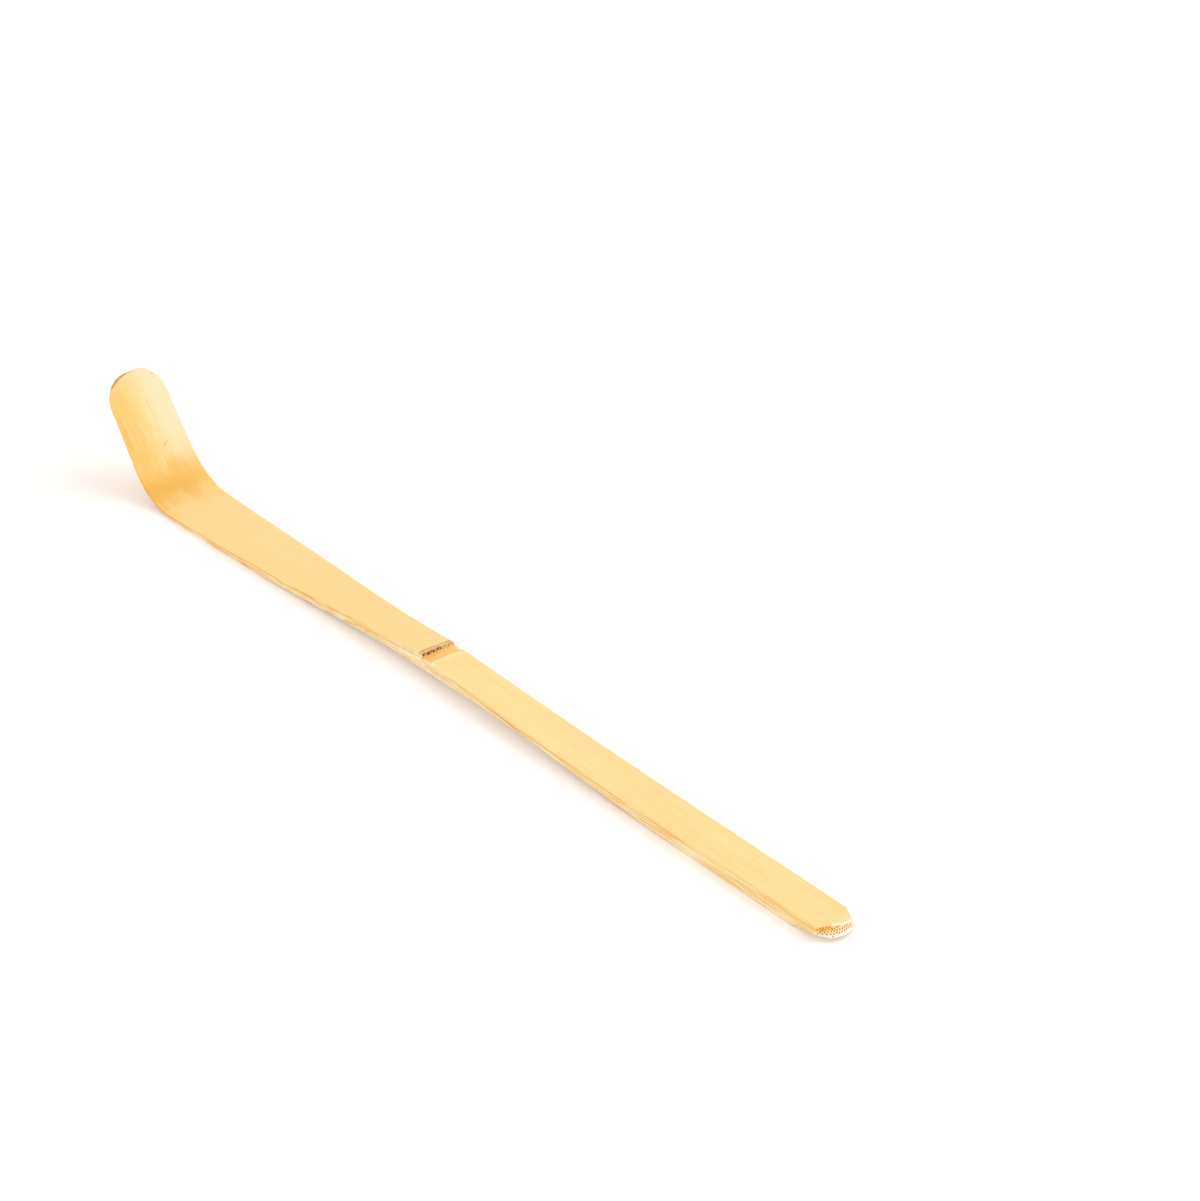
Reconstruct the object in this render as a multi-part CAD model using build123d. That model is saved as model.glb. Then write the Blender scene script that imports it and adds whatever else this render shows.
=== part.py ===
from build123d import *
import os
from math import cos, radians, sin, sqrt

# Tea scoop carved from one strip of bamboo, in millimetres.
# It lies along X with the blade at -X, on the plane Z = 0, with the culm's outer side up.

# Lengths along the scoop
overall_length = 180.6      # tip to cut end, straight
node_to_end = 92.7          # ledge of the node to the cut end
flat_run = 30.8             # straight stretch of the handle's top, from the cut end
sole_run = 17.0             # and of its underside
belly_to_end = 50.8         # widest place of the handle to the cut end
neck_to_node = 16.0         # highest place of the underside to the node
heel_flat = 8.0             # resting place under the heel
heel_to_bend = 4.0          # from where the underside leaves the table to the bend

# Bend and blade
bend_radius = 13.0          # inside of the bend, along the edges
bend_angle = 51.0           # degrees that the blade rises
blade_run = 15.85           # straight run of the blade past the bend

# Widths across the strip
end_width = 6.75            # at the cut end
handle_width = 6.95         # at the handle's belly
waist_width = 6.6           # at the node
blade_width = 11.9          # at the bend
tip_width = 11.2            # where the tip begins to round

# Heights of the top edges above the table
handle_height = 2.13        # along the straight stretch
handle_crest = 3.38         # the handle's top where it meets the node
stem_crest = 3.52           # the stem's top where it meets the node
heel_height = 0.9           # at the start of the bend

# Heights of the underside above the table
belly_gap = 0.62            # under the handle's belly
neck_gap = 1.6              # under the neck, the highest place
node_gap = 1.2              # under the node
stem_gap = 0.88             # under the stem, a little ahead of the node

# Thickness along the edges
heel_thickness = 0.78       # at the start of the bend
bend_thickness = 0.5        # at the end of the bend
tip_thickness = 0.42

# Cross section
culm_radius = 34.0          # roundness that the top keeps from the culm
edge_bevel = 0.12           # bevel along the top edges
node_bevel = 0.5            # wider bevel shaved beside the node, on the -Y side
bevel_spread = 6.0          # how far along the strip the wide bevel fades
sole_bevel = 0.18           # bevel along the lower edges
flank_lean = 0.15           # how far each flank leans in towards the underside

# Node
hollow_depth = 0.38         # smooth hollow behind the ledge
hollow_length = 2.6
hollow_ramp = 1.3           # length over which the hollow rises to the handle
scar_distance = 1.0         # fine scar line ahead of the ledge
scar_width = 0.16
scar_depth = 0.1

# Tip
nose_radius = 14.0          # blunt middle of the tip
nose_offset = 0.9           # how far towards +Y the tip stands furthest out
near_tip_corner = 5.6       # corner on the -Y side
far_tip_corner = 4.6        # corner on the +Y side
tip_clear = 0.04            # how far the corners' arcs start outside the edges

# Cut end
end_cut = 3.5               # how far back from its furthest point the end is cut
end_top_radius = 4.7        # roundness of the end at its top edge
end_top_shift = 0.45        # how far towards -Y it stands furthest out there
end_sole_radius = 3.0       # roundness of the end at the table
end_sole_shift = 0.65       # how far towards +Y it stands furthest out there
end_lean = 2.0              # how far the end face runs out from the top to the table
lift_length = 7.0           # stretch of the underside that is eased up towards the end
lift_height = 0.7
stroke_length = 8.4         # last knife stroke, under the corner on the -Y side
stroke_width = 3.5
stroke_height = 1.42

# Making
sole_shave = 0.06           # depth planed off the underside to make the resting flats
overrun = 2.0               # how far blanks and cutting tools reach past what is kept

# Shares of the sizes above, chosen by eye, and counts
stem_width_shares = [(0.27, 0.17), (0.51, 0.54), (0.83, 0.85)]  # place from node to bend, growth
stem_fall_share = (0.51, 0.67)                      # place from node to bend, fall in height
stem_gap_share = 0.27                               # place of stem_gap from node to bend
blade_hollow_share = 0.8                            # roundness of the blade's underside
handle_steps = 16
scoop_steps = 28

rise = radians(bend_angle)
end_x = overall_length / 2
node_x = end_x - node_to_end
bend_x = -end_x + blade_run * cos(rise) + bend_radius * sin(rise)
arc_length = bend_radius * rise
tip_depth = near_tip_corner + nose_radius - sqrt(nose_radius**2 - (tip_width / 2 + nose_offset)**2)
stem_length = node_x - bend_x
flat_x = end_x - flat_run


def crown(half):
    """How far the culm's roundness lifts the middle of a top face above its edges."""
    return culm_radius - sqrt(culm_radius**2 - half**2)


def handle_top():
    """Top edge seen from the side: straight from the cut end, then one long arc up to the node."""
    turn = (flat_x, 0, handle_height)
    run = Line((end_x + overrun, 0, handle_height), turn)
    return [run, TangentArc(turn, (node_x, 0, handle_crest), tangent=(-1, 0, 0))]


def handle_sole():
    """Underside seen from the side: flat under the end, rising slowly and then arched at the neck."""
    turn = (end_x - sole_run, 0, -sole_shave)
    run = Line((end_x + overrun, 0, -sole_shave), turn)
    belly = (end_x - belly_to_end, 0, belly_gap)
    neck = (node_x + neck_to_node, 0, neck_gap)
    arch = Spline(turn, belly, neck, (node_x, 0, node_gap), tangents=[(-1, 0, 0), (-1, 0, 0)])
    return [run, arch]


def handle_side():
    """Edge seen from above, a little fuller in the middle of the handle."""
    return [Spline((end_x + overrun, end_width / 2, 0),
                   (end_x - belly_to_end, handle_width / 2, 0),
                   (node_x, waist_width / 2, 0))]


def stem_top():
    """Top edge seen from the side, falling from the node to the bend."""
    place, fall = stem_fall_share
    middle = (node_x - place * stem_length, 0, stem_crest - fall * (stem_crest - heel_height))
    return [Spline((node_x, 0, stem_crest), middle, (bend_x, 0, heel_height))]


def stem_sole():
    """Underside seen from the side, coming down to the flat heel ahead of the bend."""
    gap = (node_x - stem_gap_share * stem_length, 0, stem_gap)
    toe = (bend_x + heel_to_bend, 0, -sole_shave)
    heel = (toe[0] + heel_flat, 0, -sole_shave)
    arch = Spline((node_x, 0, node_gap), gap, heel, tangents=[(-1, 0, 0), (-1, 0, 0)])
    lift = TangentArc(toe, (bend_x, 0, heel_height - heel_thickness), tangent=(-1, 0, 0))
    return [arch, Line(heel, toe), lift]


def stem_side():
    """Edge seen from above, slow to widen at the node and then steady up to the bend."""
    waist, blade = waist_width / 2, blade_width / 2
    points = [(node_x - place * stem_length, waist + growth * (blade - waist), 0)
              for place, growth in stem_width_shares]
    return [Spline((node_x, waist, 0), *points, (bend_x, blade, 0))]


def point_at(guide, x):
    """Point where a guide passes x. A guide is a list of lines that run on towards -X."""
    line = [part for part in guide if (part @ 0).X >= x or part is guide[0]][-1]
    low, high = 0.0, 1.0
    while high - low > 1e-7:
        middle = (low + high) / 2
        if line.position_at(middle, PositionMode.PARAMETER).X > x:
            low = middle
        else:
            high = middle
    return line.position_at(high, PositionMode.PARAMETER)


def cross_section(place, half, thickness, bevel, hollow=0.0):
    """Outline across the strip, on a plane whose origin is midway across, level with its top edge."""
    far_top, near_top = half - edge_bevel, bevel - half
    near_drop = crown(near_top) - crown(far_top)
    foot = half - flank_lean
    sole = foot - sole_bevel
    far_side = Polyline((far_top, 0), (half, -edge_bevel), (foot, sole_bevel - thickness),
                        (sole, -thickness))
    near_side = Polyline((-sole, -thickness), (-foot, sole_bevel - thickness),
                         (-half, -near_drop - bevel), (near_top, -near_drop))
    top = ThreePointArc((near_top, -near_drop), (0, crown(far_top)), (far_top, 0))
    bottom = Bezier((sole, -thickness), (0, 2 * hollow - thickness), (-sole, -thickness))
    return place * Wire([top, *far_side.edges(), bottom, *near_side.edges()])


def upright_section(x, top, sole, side):
    """Section of the handle or stem at x, read from its three guide lines."""
    height = point_at(top, x).Z
    fade = 1 + ((x - node_x) / bevel_spread)**2
    bevel = edge_bevel + (node_bevel - edge_bevel) / fade
    place = Plane((x, 0, height), x_dir=(0, 1, 0), z_dir=(1, 0, 0))
    return cross_section(place, point_at(side, x).Y, height - point_at(sole, x).Z, bevel)


def blend(start, stop, share):
    return start + (stop - start) * min(share, 1)


def spaced(start, stop, steps):
    return [blend(start, stop, i / steps) for i in range(steps + 1)]


def handle_blank():
    guides = handle_top(), handle_sole(), handle_side()
    places = spaced(end_x + overrun, node_x, handle_steps)
    return Solid.make_loft([upright_section(x, *guides) for x in places])


def lifted_section(run):
    """Section of the bend or blade, run along the edges from where the bend starts."""
    lift = min(run, arc_length) / bend_radius
    past = max(run - arc_length, 0)
    x = bend_x - bend_radius * sin(lift) - past * cos(lift)
    z = heel_height + bend_radius * (1 - cos(lift)) + past * sin(lift)
    bent = lift / rise
    thickness = blend(heel_thickness, bend_thickness, bent)
    thickness = blend(thickness, tip_thickness, past / blade_run)
    half = blend(blade_width, tip_width, run / (arc_length + blade_run - tip_depth)) / 2
    place = Plane((x, 0, z), x_dir=(0, 1, 0), z_dir=(cos(lift), 0, -sin(lift)))
    return cross_section(place, half, thickness, edge_bevel, bent * blade_hollow_share * crown(half))


def scoop_blank():
    """Stem, bend and blade in one run, as the strip is one run of fibres."""
    guides = stem_top(), stem_sole(), stem_side()
    sections = []
    for run in spaced(-stem_length, arc_length + blade_run + overrun, scoop_steps):
        sections.append(upright_section(bend_x - run, *guides) if run < 0 else lifted_section(run))
    return Solid.make_loft(sections)


def ring_cut(outline):
    """Groove turned about the culm's own axis, so that it follows the roundness of the strip."""
    axis = Axis((0, 0, handle_crest - culm_radius), (1, 0, 0))
    return revolve(make_face(outline), axis)


def node_hollow():
    """Smooth hollow behind the ledge: steep at the ledge, with a long ramp up to the handle."""
    top = handle_crest + crown(waist_width / 2 - edge_bevel)
    floor = (node_x, 0, top - hollow_depth)
    ramp = (node_x + hollow_length - hollow_ramp, 0, top - hollow_depth)
    brow = (node_x + hollow_length, 0, top)
    walls = Polyline(brow, (brow[0], 0, top + overrun), (node_x, 0, top + overrun), floor, ramp)
    return ring_cut([walls, Spline(ramp, brow, tangents=[(1, 0, 0), (1, 0, 0)])])


def scar_line():
    """Fine V groove where the culm's sheath was attached."""
    top = stem_crest + crown(waist_width / 2 - edge_bevel)
    x = node_x - scar_distance
    return ring_cut(Polyline((x - scar_width / 2, 0, top), (x, 0, top - scar_depth),
                             (x + scar_width / 2, 0, top), close=True))


def tip_waste():
    """What lies outside the rounded tip, cut square through the blade."""
    kept = Pos(-tip_depth / 2, 0) * Rectangle(tip_depth, tip_width + 2 * tip_clear)
    kept &= Pos(-nose_radius, nose_offset) * Circle(nose_radius)
    kept = fillet(kept.vertices().group_by(Axis.Y)[0].sort_by(Axis.X)[-1], near_tip_corner)
    kept = fillet(kept.vertices().group_by(Axis.Y)[-1].sort_by(Axis.X)[-1], far_tip_corner)
    depth = tip_depth + 2 * overrun
    sheet = Pos(depth / 2 - tip_depth, 0) * Rectangle(depth, tip_width + 2 * overrun)
    tip_x = bend_x - bend_radius * sin(rise) - blade_run * cos(rise)
    tip_z = heel_height + bend_radius * (1 - cos(rise)) + blade_run * sin(rise)
    place = Plane((tip_x, 0, tip_z), x_dir=(-cos(rise), 0, sin(rise)), z_dir=(-sin(rise), 0, -cos(rise)))
    return extrude(place * (sheet - kept), overrun, both=True)


def end_level(height):
    """Round outline of the cut end at one height, narrower and further out towards the table."""
    share = height / handle_height
    radius = end_sole_radius + share * (end_top_radius - end_sole_radius)
    reach = end_x + (lift_height / handle_height - share) * end_lean
    shift = end_sole_shift - share * (end_top_shift + end_sole_shift)
    return Pos(reach - radius, shift, height) * Circle(radius)


def end_waste():
    """What lies past the cut end."""
    kept = loft([end_level(-overrun), end_level(handle_height + overrun)])
    depth = end_cut + 2 * overrun
    block = Box(depth, end_width + 2 * overrun, handle_height + 2 * overrun)
    return Pos(end_x - end_cut + depth / 2, 0, handle_height / 2) * block - kept


def knife_stroke(*corners):
    """Plane through three corners of a cut, facing away from the strip."""
    start, along, across = [Vector(*corner) for corner in corners]
    return Plane(start, x_dir=along - start, z_dir=(along - start).cross(across - start))


def trimmed_handle():
    """Handle with its end cut, eased underneath and given a last stroke under one corner."""
    half = end_width / 2
    handle = handle_blank() - node_hollow() - end_waste()
    ease = knife_stroke((end_x - lift_length, 0, 0), (end_x, 0, lift_height),
                        (end_x - lift_length, -half, 0))
    stroke_x = end_x - stroke_length
    stroke = knife_stroke((stroke_x, -half, 0), (end_x, stroke_width - half, 0),
                          (end_x, -half, stroke_height))
    for cut in (ease, stroke):
        handle = split(handle, bisect_by=cut, keep=Keep.BOTTOM)
    return handle


def centred(solid):
    """Move the scoop along X so that the origin is midway between its two ends."""
    return Pos(-solid.bounding_box().center().X) * solid


def bamboo_scoop():
    """The whole strip: two runs that meet at the ledge of the node, resting on two flats."""
    scoop = scoop_blank() - scar_line() - tip_waste() + trimmed_handle()
    return centred(split(scoop, bisect_by=Plane.XY, keep=Keep.TOP))


os.makedirs("parts", exist_ok=True)
export_step(bamboo_scoop(), "parts/bamboo_scoop.step")
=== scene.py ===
from math import asin, cos, pi, radians, sin, sqrt
from types import SimpleNamespace
import bpy
import numpy as np
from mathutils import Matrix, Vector


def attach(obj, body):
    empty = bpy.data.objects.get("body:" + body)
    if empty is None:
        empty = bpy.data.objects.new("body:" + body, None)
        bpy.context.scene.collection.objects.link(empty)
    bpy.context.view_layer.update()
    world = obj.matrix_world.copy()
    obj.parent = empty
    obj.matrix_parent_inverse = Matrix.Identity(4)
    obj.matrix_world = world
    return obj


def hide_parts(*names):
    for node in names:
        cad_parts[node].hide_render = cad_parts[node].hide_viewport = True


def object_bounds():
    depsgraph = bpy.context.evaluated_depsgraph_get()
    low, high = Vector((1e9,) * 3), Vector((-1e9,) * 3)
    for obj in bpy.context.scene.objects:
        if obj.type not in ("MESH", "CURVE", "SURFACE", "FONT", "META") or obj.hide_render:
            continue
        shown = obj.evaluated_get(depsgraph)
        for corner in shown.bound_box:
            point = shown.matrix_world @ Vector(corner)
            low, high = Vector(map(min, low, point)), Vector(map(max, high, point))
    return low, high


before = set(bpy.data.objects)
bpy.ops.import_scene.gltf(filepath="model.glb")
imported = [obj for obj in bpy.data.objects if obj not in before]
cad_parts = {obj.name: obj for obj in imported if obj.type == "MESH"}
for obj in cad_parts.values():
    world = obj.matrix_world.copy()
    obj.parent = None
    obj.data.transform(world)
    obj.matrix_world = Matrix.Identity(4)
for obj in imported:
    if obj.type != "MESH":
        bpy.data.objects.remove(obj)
cad_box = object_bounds()

# A bamboo tea scoop. Sizes are in millimetres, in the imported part's own frame, and each mesh is
# brought to metres when it is made. The strip runs along X, with the tip at -X and the sole at Z 0.
METRE = 1000.0
END_X = cad_box[1].x * METRE
TIP_X = cad_box[0].x * METRE

# Node, bend and blade
NODE_X = END_X - 92.7
BEND_RADIUS = 13.0
RISE = radians(51.0)
BLADE_RUN = 15.85
TIP_OVERHANG = 0.05
HEEL_HEIGHT = 0.9
BEND_ARC = BEND_RADIUS * RISE
BEND_X = TIP_X + TIP_OVERHANG + BLADE_RUN * cos(RISE) + BEND_RADIUS * sin(RISE)
TIP_ALONG = BEND_X - BEND_ARC - BLADE_RUN

# Tip outline
TIP_HALF = 5.6
TAPER_X = TIP_ALONG + 7
NOSE_RADIUS = 14.0
NOSE_OFFSET = 0.9
NEAR_CORNER = 5.6
FAR_CORNER = 4.6
TIP_SLANT = 0.42

# Cut end
HANDLE_HEIGHT = 2.13
END_TOP_RADIUS = 4.7
END_TOP_SHIFT = 0.45
END_SOLE_RADIUS = 3.0
END_SOLE_SHIFT = 0.65
END_LEAN = 2.0
LIFT_LENGTH = 7.0
LIFT_HEIGHT = 0.7
STROKE_LENGTH = 8.4
STROKE_WIDTH = 3.5
STROKE_HEIGHT = 1.42

# Cross section
CULM_RADIUS = 34.0
EDGE_ROUND = 0.11
NODE_ROUND = 0.62
NODE_ROUND_SPREAD = 6.0
END_PARE = 0.42
END_PARE_RUN = 55.0
SOLE_ROUND = 0.16
FLANK_LEAN = 0.15
BLADE_HOLLOW = 0.8
HEEL_THICKNESS = 0.78
BEND_THICKNESS = 0.5
TIP_THICKNESS = 0.42

# Relief of the node
SCAR_DISTANCE = 1.0
SCAR_WIDTH = 0.11
SCAR_DEPTH = 0.09
BAND_RISE = 0.07
HOLLOW_DEPTH = 0.38
HOLLOW_LENGTH = 2.6
HOLLOW_RAMP = 1.3
LEDGE_RUN = 0.14
BROW_HEIGHT = 0.02
SEPTUM_HEIGHT = 0.08

# Knife work on the long edges
FACET_WIDTH = 0.62
FACET_DEPTH = 0.035

# Guide lines as (place along the strip, value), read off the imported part's own guide lines
TOP_EDGE_STEM = [(BEND_X, HEEL_HEIGHT), (-58.0, 1.124), (-44.0, 1.514), (-29.0, 2.091),
                 (-15.0, 2.778), (NODE_X, 3.52)]
TOP_EDGE_HANDLE = [(NODE_X, 3.38), (4.0, 3.136), (14.0, 2.806), (28.0, 2.454), (42.0, 2.23),
                   (59.6, HANDLE_HEIGHT), (END_X, HANDLE_HEIGHT)]
SOLE_LINE = [(BEND_X, HEEL_HEIGHT - HEEL_THICKNESS), (-66.3, -0.06), (-58.3, -0.06), (-50.0, 0.01),
             (-42.0, 0.19), (-30.0, 0.574), (-21.0, 0.87), (-12.0, 1.1), (NODE_X, 1.2), (8.0, 1.457),
             (14.5, 1.6), (20.0, 1.54), (28.0, 1.229), (39.5, 0.621), (50.0, 0.224), (60.0, 0.02),
             (END_X, -0.06)]
HALF_WIDTH = [(TAPER_X, TIP_HALF), (BEND_X, 5.91), (-64.0, 5.729), (-50.0, 5.276),
              (-37.0, 4.733), (-29.0, 4.252), (-21.0, 3.768), (-15.0, 3.486), (-8.0, 3.304),
              (NODE_X, 3.3), (10.0, 3.375), (39.5, 3.475), (60.0, 3.479), (80.0, 3.43), (END_X, 3.38)]

# Slope of the end grain's dotted band across the cut end
BAND_TILT = 0.23

# Scratches on the blade: along and across from the bend, length, turn in radians and width
SCRATCHES = ((-13.7, 1.12, 0.65, -0.66, 0.14), (-13.27, 0.56, 0.35, -1.49, 0.12),
             (-25.8, 3.93, 0.3, 0.4, 0.18))

# Mesh counts, and steps between the stations along the strip
COLUMNS = 33
CORNER_STEPS = 9
SIDE_STEPS = 7
ROUND_STEPS = 4
FLANK_STEPS = 16
HANDLE_STEP = 0.9
NODE_STEP = 0.055
STEM_STEP = 0.8
BEND_STEP = 0.4


def flowing(points):
    """Smooth line through (place, value) points, given from -X to +X, level beyond both ends."""
    places, values = np.array(points, float).T
    slopes = np.gradient(values, places)

    def read(place):
        step = np.clip(np.searchsorted(places, place) - 1, 0, len(places) - 2)
        span = places[step + 1] - places[step]
        t = np.clip((place - places[step]) / span, 0, 1)
        rise = values[step + 1] - values[step]
        curl = (t - 1) * slopes[step] * span + t * slopes[step + 1] * span
        return values[step] + rise * t * t * (3 - 2 * t) + t * (t - 1) * curl
    return read


top_edge_stem = flowing(TOP_EDGE_STEM)
top_edge_handle = flowing(TOP_EDGE_HANDLE)
sole_line = flowing(SOLE_LINE)
half_width = flowing(HALF_WIDTH)


def eased(value, start, stop):
    """0 before start, 1 past stop and an easy slope between."""
    share = np.clip((value - start) / (stop - start), 0, 1)
    return share * share * (3 - 2 * share)


def mixed(first, second, share):
    return first + (second - first) * share


def bump_at(value, middle, reach):
    return np.exp(-((value - middle) / reach)**2)


def spine(along):
    """x, z and lift of the strip's edge line. Along is x up to the bend, then runs on round it."""
    run = np.maximum(BEND_X - along, 0)
    lift = np.minimum(run, BEND_ARC) / BEND_RADIUS
    past = np.maximum(run - BEND_ARC, 0)
    ledge = eased(along, NODE_X, NODE_X + LEDGE_RUN)
    height = mixed(top_edge_stem(along), top_edge_handle(along), ledge)
    bent_x = BEND_X - BEND_RADIUS * np.sin(lift) - past * np.cos(lift)
    bent_z = HEEL_HEIGHT + BEND_RADIUS * (1 - np.cos(lift)) + past * np.sin(lift)
    return np.where(run > 0, bent_x, along), np.where(run > 0, bent_z, height), lift


def thickness(along):
    run = BEND_X - along
    lifted = mixed(HEEL_THICKNESS, BEND_THICKNESS, np.clip(run / BEND_ARC, 0, 1))
    lifted = mixed(lifted, TIP_THICKNESS, np.clip((run - BEND_ARC) / BLADE_RUN, 0, 1))
    eased_end = LIFT_HEIGHT * np.maximum(along - END_X + LIFT_LENGTH, 0) / LIFT_LENGTH
    sole = np.maximum(np.maximum(sole_line(along), 0), eased_end)
    return np.where(run > 0, lifted, spine(along)[1] - sole)


def culm_round(across, half):
    """Height of the culm's round skin over the strip's edges."""
    return np.sqrt(CULM_RADIUS**2 - across**2) - np.sqrt(CULM_RADIUS**2 - half**2)


def node_relief(along, across):
    """Scar groove, raised band, ledge and smooth hollow, as heights on the skin."""
    ragged = 0.05 * np.sin(1.3 * across + 0.6) + 0.03 * np.sin(4.1 * across)
    past = along - NODE_X + ragged
    scar = -SCAR_DEPTH * bump_at(past, -SCAR_DISTANCE, SCAR_WIDTH)
    band = BAND_RISE * eased(past, -SCAR_DISTANCE, -0.6) * (1 - eased(past, -LEDGE_RUN, 0))
    ramp = eased(past, HOLLOW_LENGTH - HOLLOW_RAMP, HOLLOW_LENGTH)
    hollow = -HOLLOW_DEPTH * eased(past, -LEDGE_RUN, LEDGE_RUN) * (1 - ramp)
    brow = BROW_HEIGHT * bump_at(past, HOLLOW_LENGTH + 0.25, 0.35)
    return scar + band + hollow + brow


def culm_height(along, across):
    """Height of the culm's own skin over the strip's edge line, before the node was worked."""
    half = half_width(along)
    return culm_round(np.clip(across, -half, half), half)


def skin_height(along, across):
    return culm_height(along, across) + node_relief(along, across)


def sole_height(along, across):
    """Underside over the strip's edge line: hollowed behind the blade, with the septum's low ridge."""
    half = half_width(along)
    bent = np.clip((BEND_X - along) / BEND_ARC, 0, 1)
    inward = 1 - np.clip(across / half, -1, 1)**2
    hollow = bent * BLADE_HOLLOW * culm_round(0, half) * inward
    septum = SEPTUM_HEIGHT * bump_at(along, NODE_X + 0.4, 0.7) * inward
    return hollow - septum - thickness(along)


def placed(along, across, height):
    """Points of the strip from their place along it, across it and above its edge line."""
    x, z, lift = spine(along)
    return np.stack([x + height * np.sin(lift), across, z + height * np.cos(lift)], -1)


def on_skin(plan):
    return placed(plan[..., 0], plan[..., 1], skin_height(plan[..., 0], plan[..., 1]))


def on_sole(plan):
    return placed(plan[..., 0], plan[..., 1], sole_height(plan[..., 0], plan[..., 1]))


def tip_corner(side, radius):
    """Centre of a corner arc of the tip, and how far the outline has turned where it meets the nose."""
    across = side * (TIP_HALF - radius)
    reach = NOSE_RADIUS - radius
    back = sqrt(reach**2 - (across - NOSE_OFFSET)**2)
    return np.array([TIP_ALONG + NOSE_RADIUS - back, across]), asin((across - NOSE_OFFSET) / reach)


def tip_inset(turn, lean, is_deck):
    """How far the tip's edge is drawn in: its +X arris is pared back round the -Y corner."""
    pared_share = eased(turn, -1.15, -0.7) * (1 - eased(turn, -0.25, 0.2))
    return TIP_SLANT * pared_share if is_deck else lean * (1 - pared_share)


def tip_outline(turn, inset):
    """Tip's outline in plan and its outward direction, by how far it has turned from the length."""
    near, near_turn = tip_corner(-1, NEAR_CORNER)
    far, far_turn = tip_corner(1, FAR_CORNER)
    outward = np.stack([-np.cos(turn), np.sin(turn)], -1)
    nose = np.array([TIP_ALONG + NOSE_RADIUS, NOSE_OFFSET])
    plan = nose + NOSE_RADIUS * outward
    at_near, at_far = turn < near_turn, turn > far_turn
    plan[at_near] = near + NEAR_CORNER * outward[at_near]
    plan[at_far] = far + FAR_CORNER * outward[at_far]
    return plan - np.reshape(inset, (-1, 1)) * outward, outward


def end_circle(height):
    """Centre and radius of the cut end's outline at one height."""
    share = height / HANDLE_HEIGHT
    radius = END_SOLE_RADIUS + share * (END_TOP_RADIUS - END_SOLE_RADIUS)
    reach = END_X + (LIFT_HEIGHT / HANDLE_HEIGHT - share) * END_LEAN
    return np.array([reach - radius, END_SOLE_SHIFT - share * (END_TOP_SHIFT + END_SOLE_SHIFT)]), radius


def end_outline(height, inset, half, pared=0.0):
    """Cut end's outline in plan at one height, from the near corner to the far one."""
    centre, radius = end_circle(height)
    across = np.linspace(-half + pared, half, COLUMNS)
    swing = np.clip((across - centre[1]) / radius, -0.995, 0.995)
    outward = np.stack([np.sqrt(1 - swing**2), swing], -1)
    plan = np.stack([centre[0] + radius * outward[:, 0], across], -1)
    sides = np.zeros_like(outward)
    sides[0, 1], sides[-1, 1] = -1, 1
    mitre = outward + sides
    mitre[[0, -1]] /= (1 + (outward * sides).sum(-1))[[0, -1], None]
    return plan - inset * mitre, outward


def stations():
    """Places along the strip, closest together from just past the hollow to ahead of the scar."""
    return np.concatenate([
        np.arange(END_X - 6, NODE_X + HOLLOW_LENGTH + 1.4, -HANDLE_STEP),
        np.arange(NODE_X + HOLLOW_LENGTH + 0.8, NODE_X - SCAR_DISTANCE - 0.7, -NODE_STEP),
        np.arange(NODE_X - SCAR_DISTANCE - 1.2, BEND_X, -STEM_STEP),
        np.arange(BEND_X, TIP_ALONG + 9.5, -BEND_STEP)])


def side_plan(side, corner, arc_start, inset, lean, is_deck):
    """One long edge in plan, from the cut end's corner to half way round the tip's corner."""
    main = stations()
    start = np.linspace(corner, main[0], SIDE_STEPS, endpoint=False)
    finish = np.linspace(main[-1], arc_start, SIDE_STEPS + 1)[1:-1]
    along = np.concatenate([start, main, finish])
    straight = np.stack([along, side * (half_width(along) - lean - inset)], -1)
    sideways = np.tile([0, side], (len(along), 1))
    turn = side * np.linspace(pi / 2, pi / 4, CORNER_STEPS)
    arc, outward = tip_outline(turn, inset + tip_inset(turn, lean, is_deck))
    return np.concatenate([straight, arc]), np.concatenate([sideways, outward])


def near_round(along):
    """Radius of the -Y edge: wider where it is shaved beside the node and pared towards the cut end."""
    shaved_wide = (NODE_ROUND - EDGE_ROUND) / (1 + ((along - NODE_X) / NODE_ROUND_SPREAD)**2)
    return EDGE_ROUND + shaved_wide + END_PARE * eased(along, END_X - END_PARE_RUN, END_X)


def outline_sides(height, inset, lean, is_deck, pared=0.0):
    """The four sides of the strip's outline in plan: near, far, tip and end."""
    half = half_width(END_X) - lean
    end, end_outward = end_outline(height, inset, half, pared)
    sharp_end = end_outline(height, 0, half)[0]
    near = side_plan(-1, sharp_end[0, 0], tip_corner(-1, NEAR_CORNER)[0][0], inset, lean, is_deck)
    far = side_plan(1, sharp_end[-1, 0], tip_corner(1, FAR_CORNER)[0][0], inset, lean, is_deck)
    turn = np.linspace(-pi / 4, pi / 4, COLUMNS)
    tip = tip_outline(turn, inset + tip_inset(turn, lean, is_deck))
    near[0][0], far[0][0] = end[0], end[-1]
    return near, far, tip, (end, end_outward)


def patched(near, far, tip, end):
    """Plan grid between four sides, straight across except near the tip and the cut end."""
    share = np.linspace(0, 1, COLUMNS)[None, :, None]
    grid = near[:, None] * (1 - share) + far[:, None] * share
    rows = grid[:, COLUMNS // 2, 0]
    to_end = eased(rows, END_X - 5, rows[0])[:, None, None]
    to_tip = eased(-rows, -TIP_ALONG - 9, -rows[-1])[:, None, None]
    return grid + (end - grid[0]) * to_end + (tip - grid[-1]) * to_tip


def around(near, far, tip, end):
    """Joins the four sides into one run: along -Y to the tip, round it, back along +Y, round the end."""
    return np.concatenate([near, tip[1:-1], far[::-1], end[-2:0:-1]])


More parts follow.
